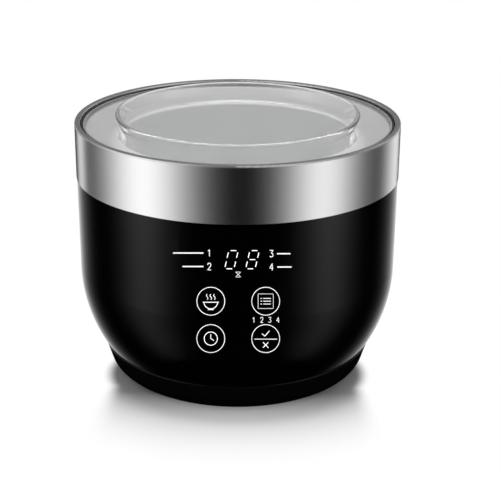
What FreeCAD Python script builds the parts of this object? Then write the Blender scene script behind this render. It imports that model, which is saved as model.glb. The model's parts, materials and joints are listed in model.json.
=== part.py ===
"""Countertop yogurt maker: a black shell with a steel band, a heating well and a lift-out glass bowl.

Millimetres, +Z up. The origin is on the table, under the middle of the base. The control panel faces -Y.
"""
import FreeCAD, Part
import math
import os
import Sketcher
from FreeCAD import Placement, Rotation, Vector

doc = FreeCAD.newDocument("yogurt_maker")

# Driving dimensions, in millimetres. Radii run outward from the glass bowl and heights run up from the table.
SIZES = {
    # Glass bowl
    "bowl_rim_radius": 72.4,
    "bowl_lip_flare": 2.8,
    "bowl_lip_height": 7.0,
    "bowl_taper": 3.4,
    "bowl_wall": 2.8,
    "bowl_floor": 3.4,
    "bowl_height": 101.4,
    "bowl_corner": 12.0,
    "bowl_lip_round": 1.2,
    # Heating well and its sloping flange
    "bowl_gap": 0.8,
    "well_wall": 1.0,
    "well_depth": 97.5,
    "well_corner": 10.0,
    "well_mouth_round": 3.0,
    "flange_drop": 4.5,
    "flange_lip": 2.1,
    "flange_recess": 0.6,
    "flange_round": 1.5,
    # Space between well and shell, for the heater and the control board
    "service_gap": 21.5,
    # Outer shell
    "shell_wall": 2.5,
    "shell_taper": 0.3,
    "chamber_height": 38.5,
    "belly_rise": 46.9,
    "belly_radius": 86.9,
    "shell_edge_round": 0.6,
    "ledge_width": 15.0,
    # Steel band, the trim ring that caps it and the seal inside that
    "band_step": 0.3,
    "band_height": 32.8,
    "band_wall": 0.8,
    "ring_width": 3.4,
    "ring_cap": 1.4,
    "ring_round": 1.2,
    "ring_ledge": 1.0,
    "gasket_width": 1.2,
    "gasket_recess": 1.3,
    "gasket_round": 0.5,
    "fit_gap": 0.2,
    # Base cover, feet and base screws
    "foot_lift": 0.8,
    "base_height": 18.4,
    "base_proud": 0.5,
    "base_slope": 5.7,
    "base_wall": 2.5,
    "base_round": 11.0,
    "base_edge_round": 0.3,
    "foot_radius": 7.0,
    "foot_recess": 1.2,
    "foot_margin": 25.4,
    "screw_margin": 13.9,
    "screw_radius": 1.5,
    "screw_head_radius": 2.9,
    "screw_head_height": 2.4,
    "screw_head_depth": 10.0,
    "screw_length": 16.0,
    "boss_wall": 2.5,
    "boss_height": 13.5,
    "thread_gap": 0.05,
    "vent_width": 3.0,
    "vent_length": 14.0,
    "vent_circle": 25.0,
    # Heater band, temperature sensor and thermal fuse
    "heater_wall": 1.6,
    "heater_height": 36.0,
    "heater_lift": 9.0,
    "heater_gap": 0.1,
    "sensor_radius": 2.5,
    "sensor_length": 18.0,
    "fuse_radius": 2.0,
    "fuse_length": 12.0,
    "clip_sheet": 0.8,
    "clip_width": 7.0,
    "clip_tab": 6.0,
    "probe_offset": 16.0,
    # Control board behind the panel
    "board_sheet": 1.6,
    "board_width": 64.0,
    "board_height": 63.0,
    "board_setback": 12.0,
    "board_drop": 15.5,
    "board_hole_inset": 4.0,
    "board_screw_radius": 1.25,
    "board_screw_head_radius": 2.2,
    "board_screw_head_height": 1.6,
    "board_screw_length": 6.0,
    "board_boss_radius": 3.0,
    "button_spread": 30.0,
    "button_rise": 22.4,
    "lower_button_lift": 4.7,
    "touch_pad_radius": 5.0,
    "touch_pad_depth": 3.6,
    "display_width": 22.0,
    "display_height": 15.0,
    "display_depth": 9.2,
    "display_lift": 51.9,
    "indicator_depth": 4.4,
    "indicator_gap": 3.0,
    # Power board on the base cover, and the parts on it
    "power_board_width": 72.0,
    "power_board_length": 52.0,
    "power_board_lift": 9.3,
    "power_board_shift": 4.0,
    "standoff_radius": 3.0,
    "transformer_width": 24.0,
    "transformer_length": 20.0,
    "transformer_height": 18.0,
    "relay_width": 18.0,
    "relay_length": 13.0,
    "relay_height": 15.0,
    "capacitor_radius": 5.0,
    "capacitor_height": 14.0,
    "terminal_width": 28.0,
    "terminal_length": 10.0,
    "terminal_height": 11.0,
    "buzzer_radius": 6.0,
    "buzzer_height": 8.0,
    "connector_width": 14.0,
    "connector_length": 6.0,
    "connector_height": 8.0,
    "part_margin": 3.0,
    # Power inlet in the back of the shell
    "inlet_lift": 24.0,
    "inlet_width": 24.0,
    "inlet_height": 17.0,
    "inlet_length": 25.0,
    "inlet_proud": 1.2,
    "inlet_mouth_radius": 4.2,
    "inlet_mouth_depth": 13.0,
    "pin_radius": 1.2,
    "pin_pitch": 8.6,
    "pin_length": 7.6,
    # Insulated leads inside the shell
    "lead_radius": 0.8,
    "lead_run": 12.0,
    "lead_swing": 2.6,
    "cable_radius": 1.6,
}


class Size:
    """A length that carries its number and the spreadsheet expression that gives it."""

    def __init__(self, value, text):
        self.value = value
        self.text = text

    def join(self, sign, other, value):
        return Size(value, f"({self.text} {sign} {as_size(other).text})")

    def __add__(self, other):
        return self.join("+", other, self.value + as_size(other).value)

    def __sub__(self, other):
        return self.join("-", other, self.value - as_size(other).value)

    def __mul__(self, other):
        return self.join("*", other, self.value * as_size(other).value)

    def __truediv__(self, other):
        return self.join("/", other, self.value / as_size(other).value)

    def __neg__(self):
        return as_size(0) - self

    def __radd__(self, other):
        return as_size(other) + self

    def __rsub__(self, other):
        return as_size(other) - self

    def __rmul__(self, other):
        return as_size(other) * self


def as_size(number):
    return number if isinstance(number, Size) else Size(float(number), f"({float(number)})")


def root(size):
    return Size(math.sqrt(size.value), f"sqrt({size.text})")


def fill_sheet():
    """Writes the driving dimensions to the spreadsheet and returns them as Size values."""
    sheet = doc.addObject("Spreadsheet::Sheet", "sizes")
    for row, (alias, value) in enumerate(SIZES.items(), start=1):
        sheet.set(f"A{row}", alias)
        sheet.set(f"B{row}", str(value))
        sheet.setAlias(f"B{row}", alias)
    doc.recompute()
    return {alias: Size(value, f"sizes.{alias}") for alias, value in SIZES.items()}


class Named:
    """Gives each driving dimension as an attribute."""

    def __init__(self, sizes):
        self.__dict__.update(sizes)


d = Named(fill_sheet())

# Radii that several pieces share, from the bowl outward
BOWL_RADIUS = d.bowl_rim_radius - d.bowl_lip_flare
WELL_RADIUS = BOWL_RADIUS + d.bowl_gap
WELL_OUTSIDE = WELL_RADIUS + d.well_wall
SHELL_INSIDE = WELL_OUTSIDE + d.service_gap
SHELL_RADIUS = SHELL_INSIDE + d.shell_wall
WAIST_RADIUS = SHELL_RADIUS - d.shell_taper
WAIST_INSIDE = SHELL_INSIDE - d.shell_taper
RIM_RADIUS = SHELL_RADIUS + d.band_step
NECK_RADIUS = RIM_RADIUS - d.band_wall - d.fit_gap
NECK_INSIDE = NECK_RADIUS - d.shell_wall
RING_INSIDE = RIM_RADIUS - d.ring_width
GASKET_RADIUS = RING_INSIDE - d.fit_gap
GASKET_INSIDE = GASKET_RADIUS - d.gasket_width
FLANGE_RADIUS = GASKET_INSIDE - d.fit_gap
FLANGE_INSIDE = FLANGE_RADIUS - d.well_wall

# Heights that several pieces share, from the table up
SHELL_EDGE_Z = d.foot_lift + d.base_height
BELLY_Z = SHELL_EDGE_Z + d.belly_rise
WELL_FLOOR_Z = SHELL_EDGE_Z + d.chamber_height
RIM_Z = WELL_FLOOR_Z + d.well_depth
BAND_Z = RIM_Z - d.band_height
CAP_Z = RIM_Z - d.ring_cap
GASKET_Z = RIM_Z - d.gasket_recess
FLANGE_Z = GASKET_Z - d.flange_recess
CONE_Z = FLANGE_Z - d.flange_lip
LEDGE_Z = CONE_Z - d.well_wall
NECK_Z = LEDGE_Z - d.ring_ledge
MOUTH_Z = CONE_Z - d.flange_drop
WELL_UNDERSIDE_Z = WELL_FLOOR_Z - d.well_wall
BOWL_RIM_Z = WELL_FLOOR_Z + d.bowl_height
BASE_FLOOR_Z = d.foot_lift + d.base_wall


def belly(radius, height):
    """Radius at a height on the curved lower wall, for a curve of the given radius about the belly's centre."""
    drop = BELLY_Z - height
    return BELLY_CENTRE + root(radius * radius - drop * drop)


BELLY_CENTRE = WAIST_RADIUS - d.belly_radius
BELLY_INSIDE = d.belly_radius - d.shell_wall
SHELL_EDGE = belly(d.belly_radius, SHELL_EDGE_Z)
BASE_RADIUS = SHELL_EDGE + d.base_proud
BASE_BOTTOM = BASE_RADIUS - d.base_slope
SCREW_CIRCLE = BASE_RADIUS - d.screw_margin
FOOT_CIRCLE = BASE_RADIUS - d.foot_margin

# Control board and power board planes
BOARD_FRONT = d.board_setback - SHELL_INSIDE
BOARD_BACK = BOARD_FRONT + d.board_sheet
BOARD_BOTTOM_Z = BELLY_Z - d.board_drop
BOARD_TOP_Z = BOARD_BOTTOM_Z + d.board_height
BOARD_PILOT = d.board_screw_length - d.board_sheet + d.thread_gap
POWER_Z = BASE_FLOOR_Z + d.power_board_lift
POWER_TOP_Z = POWER_Z + d.board_sheet

# Places on the power board that leads run to
TERMINAL_X = d.terminal_width / 2 - d.part_margin * 2
TERMINAL_Y = d.power_board_shift + (d.power_board_length - d.terminal_length) / 2 - d.part_margin
TRANSFORMER_Y = d.power_board_shift + d.part_margin
BEHIND_TRANSFORMER = TRANSFORMER_Y + d.transformer_length / 2 + d.part_margin
CONNECTOR_X = -(d.connector_width / 2) - d.part_margin
CONNECTOR_Y = d.power_board_shift - (d.power_board_length - d.connector_length) / 2 + d.part_margin / 2

# Power inlet block
INLET_Z = SHELL_EDGE_Z + d.inlet_lift
INLET_FACE = belly(d.belly_radius, INLET_Z) + d.inlet_proud
INLET_BACK = INLET_FACE - d.inlet_length

# Directions about the upright axis, in degrees from +X
QUARTERS = [0, 90, 180, 270]
DIAGONALS = [45, 135, 225, 315]
VENT_ANGLES = [45 * step for step in range(8)]
HEATER_LEAD_ANGLE = 33
FUSE_LEAD_ANGLE = 200
subparts = []


class Arc:
    """An outline edge that turns about a centre to its end; only the end's height is fixed by itself."""

    def __init__(self, centre, end, clockwise):
        self.centre = centre
        self.end = end
        self.clockwise = clockwise


def bind(thing, **properties):
    """Binds properties of a document object to sizes."""
    for name, size in properties.items():
        thing.setExpression(name, as_size(size).text)


def keep(thing, label):
    """Names a finished sub-part and notes it for export."""
    thing.Label = label
    subparts.append(thing)
    return thing


# Sketches and turned bodies


def fix_point(sketch, geometry, end, point, height_only=False):
    """Holds one end of a sketch edge at (radius, height)."""
    radius, height = point
    if not height_only:
        if radius.value == 0:
            sketch.addConstraint(Sketcher.Constraint("PointOnObject", geometry, end, -2))
        else:
            number = sketch.addConstraint(Sketcher.Constraint("DistanceX", -1, 1, geometry, end, radius.value))
            sketch.setExpression(f"Constraints[{number}]", radius.text)
    number = sketch.addConstraint(Sketcher.Constraint("DistanceY", -1, 1, geometry, end, height.value))
    sketch.setExpression(f"Constraints[{number}]", height.text)


def sketch_point(point):
    return Vector(point[0].value, point[1].value, 0)


def add_arc(sketch, start, arc):
    """Adds an arc from start and returns (geometry, start end, far end)."""
    centre = sketch_point(arc.centre)
    begin = sketch_point(start) - centre
    finish = sketch_point(arc.end) - centre
    circle = Part.Circle(centre, Vector(0, 0, 1), begin.Length)
    angles = [math.atan2(begin.y, begin.x), math.atan2(finish.y, finish.x)]
    ends = (1, 2)
    if arc.clockwise:
        angles.reverse()
        ends = (2, 1)
    geometry = sketch.addGeometry(Part.ArcOfCircle(circle, *angles), False)
    fix_point(sketch, geometry, 3, arc.centre)
    return geometry, *ends


def draw_outline(sketch, start, edges):
    """Draws a closed outline from start through edges; an edge is an (radius, height) end or an Arc."""
    here = (as_size(start[0]), as_size(start[1]))
    drawn = []
    for edge in [*edges, here]:
        if isinstance(edge, Arc):
            geometry, first, last = add_arc(sketch, here, edge)
            here = edge.end
        else:
            end = (as_size(edge[0]), as_size(edge[1]))
            line = Part.LineSegment(sketch_point(here), sketch_point(end))
            geometry, first, last = sketch.addGeometry(line, False), 1, 2
            here = end
        drawn.append((geometry, first, last, here, isinstance(edge, Arc)))
    for (geometry, _, last, point, curved), after in zip(drawn, drawn[1:] + drawn[:1]):
        sketch.addConstraint(Sketcher.Constraint("Coincident", geometry, last, after[0], after[1]))
        fix_point(sketch, geometry, last, point, height_only=curved)


def origin_plane(body, role):
    return next(feature for feature in body.Origin.OriginFeatures if feature.Role == role)


def turned_body(name, start, edges):
    """A PartDesign body turned about Z from an outline in the XZ plane."""
    body = doc.addObject("PartDesign::Body", name)
    sketch = body.newObject("Sketcher::SketchObject", name + "_outline")
    sketch.AttachmentSupport = [(origin_plane(body, "XZ_Plane"), "")]
    sketch.MapMode = "FlatFace"
    draw_outline(sketch, start, edges)
    turn = body.newObject("PartDesign::Revolution", name + "_turn")
    turn.Profile = sketch
    turn.ReferenceAxis = (sketch, ["V_Axis"])
    turn.Angle = 360
    sketch.Visibility = False
    doc.recompute()
    return body


def round_rims(body, radius, *rims):
    """Rounds the circular edges of a turned body that lie at the given (radius, height) places."""
    base = body.Tip
    names = []
    for number, edge in enumerate(base.Shape.Edges, start=1):
        if not isinstance(edge.Curve, Part.Circle):
            continue
        for rim_radius, rim_height in rims:
            wide = abs(edge.Curve.Radius - as_size(rim_radius).value)
            high = abs(edge.Curve.Center.z - as_size(rim_height).value)
            if max(wide, high) < 0.001:
                names.append(f"Edge{number}")
    if len(names) != len(rims):
        raise RuntimeError(f"{body.Name}: found {len(names)} of {len(rims)} edges to round")
    fillet = body.newObject("PartDesign::Fillet", f"{body.Name}_round")
    fillet.Base = (base, names)
    bind(fillet, Radius=radius)
    doc.recompute()


# Part primitives and booleans


def place(thing, x, y, z, turn=None):
    if turn is not None:
        thing.Placement = Placement(Vector(0, 0, 0), turn)
    for axis, size in zip("xyz", (x, y, z)):
        thing.setExpression(f"Placement.Base.{axis}", as_size(size).text)
    return thing


ALONG_Y = Rotation(Vector(1, 0, 0), -90)
ALONG_X = Rotation(Vector(0, 1, 0), 90)


def cylinder(name, radius, length, x, y, z, turn=None):
    """A cylinder from (x, y, z) along +Z, or along the axis that turn gives."""
    made = doc.addObject("Part::Cylinder", name)
    bind(made, Radius=radius, Height=length)
    return place(made, x, y, z, turn)


def block(name, width, length, height, x, y, z):
    """A box centred on x and y, with its underside at z."""
    made = doc.addObject("Part::Box", name)
    bind(made, Length=width, Width=length, Height=height)
    return place(made, x - as_size(width) / 2, y - as_size(length) / 2, z)


def fuse(name, pieces):
    made = doc.addObject("Part::MultiFuse", name)
    made.Shapes = pieces
    return made


def cut(name, base, tools):
    made = doc.addObject("Part::Cut", name)
    made.Base = base
    made.Tool = tools[0] if len(tools) == 1 else fuse(name + "_tools", tools)
    return made


def common(name, pieces):
    made = doc.addObject("Part::MultiCommon", name)
    made.Shapes = pieces
    return made


def group(name, pieces):
    """Several separate solids kept as one sub-part."""
    made = doc.addObject("Part::Compound", name)
    made.Links = pieces
    return made


def around(circle, angle):
    """The (x, y) place at an angle on a circle about Z."""
    return circle * round(math.cos(math.radians(angle)), 9), circle * round(math.sin(math.radians(angle)), 9)


# Glass bowl, heating well and heater


def make_glass_bowl():
    bottom_radius = BOWL_RADIUS - d.bowl_taper
    lip_z = BOWL_RIM_Z - d.bowl_lip_height
    inner_floor = WELL_FLOOR_Z + d.bowl_floor
    body = turned_body("bowl", (0, WELL_FLOOR_Z), [
        (bottom_radius, WELL_FLOOR_Z),
        (BOWL_RADIUS, lip_z),
        (d.bowl_rim_radius, BOWL_RIM_Z),
        (d.bowl_rim_radius - d.bowl_wall, BOWL_RIM_Z),
        (BOWL_RADIUS - d.bowl_wall, lip_z),
        (bottom_radius - d.bowl_wall, inner_floor),
        (0, inner_floor),
    ])
    round_rims(body, d.bowl_corner, (bottom_radius, WELL_FLOOR_Z))
    round_rims(body, d.bowl_corner - d.bowl_wall, (bottom_radius - d.bowl_wall, inner_floor))
    round_rims(
        body,
        d.bowl_lip_round,
        (d.bowl_rim_radius, BOWL_RIM_Z),
        (d.bowl_rim_radius - d.bowl_wall, BOWL_RIM_Z),
    )
    round_rims(body, d.bowl_lip_height, (BOWL_RADIUS, lip_z), (BOWL_RADIUS - d.bowl_wall, lip_z))
    return keep(body, "glass_bowl")


def make_heating_well():
    slope = d.flange_drop / (FLANGE_INSIDE - WELL_RADIUS)
    under_mouth_z = MOUTH_Z + slope * d.well_wall - d.well_wall
    body = turned_body("well", (0, WELL_UNDERSIDE_Z), [
        (WELL_OUTSIDE, WELL_UNDERSIDE_Z),
        (WELL_OUTSIDE, under_mouth_z),
        (FLANGE_INSIDE, LEDGE_Z),
        (FLANGE_RADIUS, LEDGE_Z),
        (FLANGE_RADIUS, FLANGE_Z),
        (FLANGE_INSIDE, FLANGE_Z),
        (FLANGE_INSIDE, CONE_Z),
        (WELL_RADIUS, MOUTH_Z),
        (WELL_RADIUS, WELL_FLOOR_Z),
        (0, WELL_FLOOR_Z),
    ])
    round_rims(body, d.well_corner + d.well_wall, (WELL_OUTSIDE, WELL_UNDERSIDE_Z))
    round_rims(body, d.well_corner, (WELL_RADIUS, WELL_FLOOR_Z))
    round_rims(body, d.well_mouth_round, (WELL_RADIUS, MOUTH_Z))
    round_rims(body, d.flange_round, (FLANGE_INSIDE, CONE_Z))
    return keep(body, "heating_well")


def make_heater_band():
    inside = WELL_OUTSIDE + d.heater_gap
    outside = inside + d.heater_wall
    bottom = WELL_FLOOR_Z + d.heater_lift
    top = bottom + d.heater_height
    body = turned_body("heater", (inside, bottom), [(outside, bottom), (outside, top), (inside, top)])
    return keep(body, "heater_band")


def make_probe(name, clip_name, radius, length, y):
    """A round probe held against the underside of the well by a folded clip."""
    probe_z = WELL_UNDERSIDE_Z - d.heater_gap - radius
    probe = cylinder(name + "_rod", radius, length, length / -2, y, probe_z, ALONG_X)
    keep(probe, name)
    inner = radius + d.heater_gap
    outer = inner + d.clip_sheet
    drop = inner * 2
    strap_z = WELL_UNDERSIDE_Z - drop - d.clip_sheet
    wide = d.clip_width
    middle = as_size(0)
    pieces = [block(clip_name + "_strap", wide, outer * 2, d.clip_sheet, middle, y, strap_z)]
    for side in (-1, 1):
        leg_y = y + (inner + d.clip_sheet / 2) * side
        leg_z = WELL_UNDERSIDE_Z - drop
        tab_y = y + (outer + d.clip_tab / 2) * side
        tab_z = WELL_UNDERSIDE_Z - d.clip_sheet
        pieces.append(block(f"{clip_name}_leg_{side}", wide, d.clip_sheet, drop, middle, leg_y, leg_z))
        pieces.append(block(f"{clip_name}_tab_{side}", wide, d.clip_tab, d.clip_sheet, middle, tab_y, tab_z))
    return keep(fuse(clip_name + "_folds", pieces), clip_name)


# Outer shell, steel band and rim ring


def shell_outside(name):
    """The shell's outer form as a filled body."""
    return turned_body(name, (0, SHELL_EDGE_Z), [
        (SHELL_EDGE, SHELL_EDGE_Z),
        Arc((BELLY_CENTRE, BELLY_Z), (WAIST_RADIUS, BELLY_Z), False),
        (SHELL_RADIUS, BAND_Z),
        (NECK_RADIUS, BAND_Z),
        (NECK_RADIUS, NECK_Z),
        (0, NECK_Z),
    ])


def shell_cavity(name):
    """The space inside the shell, above its ledge."""
    ledge_top = SHELL_EDGE_Z + d.shell_wall
    shoulder = BAND_Z - d.shell_wall
    return turned_body(name, (0, ledge_top), [
        (belly(BELLY_INSIDE, ledge_top), ledge_top),
        Arc((BELLY_CENTRE, BELLY_Z), (WAIST_INSIDE, BELLY_Z), False),
        (SHELL_INSIDE, shoulder),
        (NECK_INSIDE, shoulder),
        (NECK_INSIDE, NECK_Z),
        (0, NECK_Z),
    ])


def board_holes():
    """The four screw places of the control board, as (x, z)."""
    x = d.board_width / 2 - d.board_hole_inset
    for side in (-1, 1):
        yield x * side, BOARD_BOTTOM_Z + d.board_hole_inset
        yield x * side, BOARD_TOP_Z - d.board_hole_inset


def make_outer_shell():
    boss_radius = d.screw_radius + d.boss_wall
    pilot_radius = d.screw_radius + d.thread_gap
    bosses = []
    holes = []
    for number, angle in enumerate(QUARTERS):
        spot = (*around(SCREW_CIRCLE, angle), SHELL_EDGE_Z)
        bosses.append(cylinder(f"base_boss_{number}", boss_radius, d.boss_height, *spot))
        holes.append(cylinder(f"base_pilot_{number}", pilot_radius, d.boss_height - d.boss_wall, *spot))
    reach = SHELL_RADIUS + BOARD_FRONT
    pilot_radius = d.board_screw_radius + d.thread_gap
    for number, (x, z) in enumerate(board_holes()):
        root_spot = (x, -SHELL_RADIUS, z, ALONG_Y)
        pilot_spot = (x, BOARD_FRONT - BOARD_PILOT, z, ALONG_Y)
        bosses.append(cylinder(f"board_boss_{number}", d.board_boss_radius, reach, *root_spot))
        holes.append(cylinder(f"board_pilot_{number}", pilot_radius, BOARD_PILOT, *pilot_spot))
    opening = SHELL_EDGE - d.ledge_width
    holes.append(cylinder("ledge_opening", opening, d.shell_wall, 0, 0, SHELL_EDGE_Z))
    inlet_width = d.inlet_width + d.fit_gap
    inlet_height = d.inlet_height + d.fit_gap
    holes.append(block("inlet_opening", inlet_width, d.inlet_length * 2, inlet_height, as_size(0), INLET_FACE,
                       INLET_Z - inlet_height / 2))
    outside = shell_outside("shell_outside")
    round_rims(outside, d.shell_edge_round, (SHELL_EDGE, SHELL_EDGE_Z))
    wall = cut("shell_wall_solid", outside, [shell_cavity("shell_cavity")])
    trimmed = common("shell_bosses", [fuse("shell_boss_rods", bosses), shell_outside("shell_envelope")])
    whole = fuse("shell_with_bosses", [wall, trimmed])
    return keep(cut("shell", whole, holes), "outer_shell")


def make_steel_band():
    wall_inside = RIM_RADIUS - d.band_wall
    body = turned_body("band", (wall_inside, BAND_Z), [
        (RIM_RADIUS, BAND_Z),
        (RIM_RADIUS, CAP_Z),
        (wall_inside, CAP_Z),
    ])
    return keep(body, "steel_band")


def make_rim_ring():
    ledge_inside = FLANGE_INSIDE + d.fit_gap / 2
    body = turned_body("ring", (ledge_inside, NECK_Z), [
        (NECK_RADIUS, NECK_Z),
        (NECK_RADIUS, CAP_Z),
        (RIM_RADIUS, CAP_Z),
        (RIM_RADIUS, RIM_Z),
        (RING_INSIDE, RIM_Z),
        (RING_INSIDE, LEDGE_Z),
        (ledge_inside, LEDGE_Z),
    ])
    round_rims(body, d.ring_round, (RIM_RADIUS, RIM_Z), (RING_INSIDE, RIM_Z))
    return keep(body, "rim_ring")


def make_rim_gasket():
    body = turned_body("gasket", (GASKET_INSIDE, LEDGE_Z), [
        (GASKET_RADIUS, LEDGE_Z),
        (GASKET_RADIUS, GASKET_Z),
        (GASKET_INSIDE, GASKET_Z),
    ])
    round_rims(body, d.gasket_round, (GASKET_RADIUS, GASKET_Z), (GASKET_INSIDE, GASKET_Z))
    return keep(body, "rim_gasket")


# Base cover, feet and base screws


def power_board_holes():
    """The four screw places of the power board, as (x, y)."""
    x = d.power_board_width / 2 - d.board_hole_inset
    y = d.power_board_length / 2 - d.board_hole_inset
    for side in (-1, 1):
        yield x * side, d.power_board_shift - y
        yield x * side, d.power_board_shift + y


def cover_outside(name):
    """The base cover's outer form as a filled body."""
    body = turned_body(name, (0, d.foot_lift), [
        (BASE_BOTTOM, d.foot_lift),
        (BASE_RADIUS, SHELL_EDGE_Z),
        (0, SHELL_EDGE_Z),
    ])
    round_rims(body, d.base_round, (BASE_BOTTOM, d.foot_lift))
    round_rims(body, d.base_edge_round, (BASE_RADIUS, SHELL_EDGE_Z))
    return body


def cover_cavity(name):
    """The space inside the base cover."""
    bottom = BASE_BOTTOM - d.base_wall
    body = turned_body(name, (0, BASE_FLOOR_Z), [
        (bottom, BASE_FLOOR_Z),
        (BASE_RADIUS - d.base_wall, SHELL_EDGE_Z),
        (0, SHELL_EDGE_Z),
    ])
    round_rims(body, d.base_round - d.base_wall, (bottom, BASE_FLOOR_Z))
    return body


def make_base_cover():
    posts = []
    holes = []
    for number, angle in enumerate(QUARTERS):
        x, y = around(SCREW_CIRCLE, angle)
        spot = (x, y, d.foot_lift)
        sink_radius = d.screw_head_radius + d.fit_gap
        posts.append(cylinder(f"cover_post_{number}", d.screw_radius + d.boss_wall, d.base_height, *spot))
        holes.append(cylinder(f"cover_hole_{number}", d.screw_radius + d.fit_gap, d.base_height, *spot))
        holes.append(cylinder(f"cover_sink_{number}", sink_radius, d.screw_head_depth, *spot))
    for number, angle in enumerate(DIAGONALS):
        spot = (*around(FOOT_CIRCLE, angle), d.foot_lift)
        holes.append(cylinder(f"foot_recess_{number}", d.foot_radius + d.fit_gap, d.foot_recess, *spot))
    for number, (x, y) in enumerate(power_board_holes()):
        pilot_radius = d.board_screw_radius + d.thread_gap
        pilot_spot = (x, y, POWER_Z - BOARD_PILOT)
        posts.append(cylinder(f"standoff_{number}", d.standoff_radius, d.power_board_lift, x, y, BASE_FLOOR_Z))
        holes.append(cylinder(f"standoff_pilot_{number}", pilot_radius, BOARD_PILOT, *pilot_spot))
    for number, angle in enumerate(VENT_ANGLES):
        slot = doc.addObject("Part::Box", f"vent_{number}")
        bind(slot, Length=d.vent_length, Width=d.vent_width, Height=d.base_wall)
        turn = Rotation(Vector(0, 0, 1), angle)
        x, y = around(d.vent_circle - d.vent_length / 2, angle)
        aside_x, aside_y = around(d.vent_width / 2, angle - 90)
        holes.append(place(slot, x + aside_x, y + aside_y, d.foot_lift, turn))
    wall = cut("cover_wall", cover_outside("cover_outside"), [cover_cavity("cover_cavity")])
    trimmed = common("cover_posts", [fuse("cover_post_rods", posts), cover_outside("cover_envelope")])
    return keep(cut("cover_cut", fuse("cover_whole", [wall, trimmed]), holes), "base_cover")


def make_feet():
    height = d.foot_lift + d.foot_recess
    feet = []
    for number, angle in enumerate(DIAGONALS):
        x, y = around(FOOT_CIRCLE, angle)
        feet.append(cylinder(f"foot_{number}", d.foot_radius, height, x, y, 0))
    return keep(group("feet", feet), "rubber_feet")


def make_base_screws():
    seat = d.foot_lift + d.screw_head_depth
    screws = []
    for number, angle in enumerate(QUARTERS):
        x, y = around(SCREW_CIRCLE, angle)
        head = cylinder(f"base_screw_head_{number}", d.screw_head_radius, d.screw_head_height, x, y,
                        seat - d.screw_head_height)
        shank = cylinder(f"base_screw_shank_{number}", d.screw_radius, d.screw_length, x, y, seat)
        screws.append(fuse(f"base_screw_{number}", [head, shank]))
    return keep(group("base_screw_set", screws), "base_screws")


# Control board behind the panel


def board_screw(name, x, y, z, turn=None):
    """A board screw with its head on the board at (x, y, z) and its shank behind, against the turned axis."""
    head = cylinder(name + "_head", d.board_screw_head_radius, d.board_screw_head_height, x, y, z, turn)
    length = d.board_screw_length
    if turn is None:
        tip = (x, y, z - length)
    else:
        tip = (x, y - length, z)
    shank = cylinder(name + "_shank", d.board_screw_radius, length, *tip, turn)
    return fuse(name, [head, shank])


def make_control_board():
    spot = (as_size(0), (BOARD_FRONT + BOARD_BACK) / 2, BOARD_BOTTOM_Z)
    sheet = block("control_sheet", d.board_width, d.board_sheet, d.board_height, *spot)
    hole_radius = d.board_screw_radius + d.fit_gap
    holes = []
    screws = []
    for number, (x, z) in enumerate(board_holes()):
        holes.append(cylinder(f"control_hole_{number}", hole_radius, d.board_sheet, x, BOARD_FRONT, z, ALONG_Y))
        screws.append(board_screw(f"control_screw_{number}", x, BOARD_BACK, z, ALONG_Y))
    keep(cut("control_board", sheet, holes), "control_board")
    keep(group("control_screw_set", screws), "control_board_screws")


def make_display():
    bottom = BOARD_BOTTOM_Z + d.display_lift - d.display_height / 2
    keep(block("display", d.display_width, d.display_depth, d.display_height, as_size(0),
               BOARD_FRONT - d.display_depth / 2, bottom), "led_display")
    inner = d.display_width / 2 + d.indicator_gap
    outer = d.board_width / 2 - d.board_hole_inset - d.board_boss_radius - d.indicator_gap / 2
    middle = (inner + outer) / 2
    lights = [block(f"indicator_{side}", outer - inner, d.indicator_depth, d.display_height, middle * side,
                    BOARD_FRONT - d.indicator_depth / 2, bottom) for side in (-1, 1)]
    keep(group("indicators", lights), "indicator_lights")


def make_touch_pads():
    pads = []
    for row in (0, 1):
        z = BOARD_BOTTOM_Z + d.lower_button_lift + d.button_rise * row
        for side in (-1, 1):
            pads.append(cylinder(f"touch_pad_{row}_{side}", d.touch_pad_radius, d.touch_pad_depth,
                                 d.button_spread / 2 * side, BOARD_FRONT - d.touch_pad_depth, z, ALONG_Y))
    return keep(group("pads", pads), "touch_pads")


# Power board and the parts on it


def make_power_board():
    spot = (as_size(0), d.power_board_shift, POWER_Z)
    sheet = block("power_sheet", d.power_board_width, d.power_board_length, d.board_sheet, *spot)
    hole_radius = d.board_screw_radius + d.fit_gap
    holes = []
    screws = []
    for number, (x, y) in enumerate(power_board_holes()):
        holes.append(cylinder(f"power_hole_{number}", hole_radius, d.board_sheet, x, y, POWER_Z))
        screws.append(board_screw(f"power_screw_{number}", x, y, POWER_TOP_Z))
    keep(cut("power_board", sheet, holes), "power_board")
    keep(group("power_screw_set", screws), "power_board_screws")


def board_block(label, width, length, height, x, y):
    """A box-shaped part standing on the power board."""
    keep(block(label + "_case", width, length, height, x, y, POWER_TOP_Z), label)


def board_can(label, radius, height, x, y):
    """A round part standing on the power board."""
    keep(cylinder(label + "_can", radius, height, x, y, POWER_TOP_Z), label)


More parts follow.
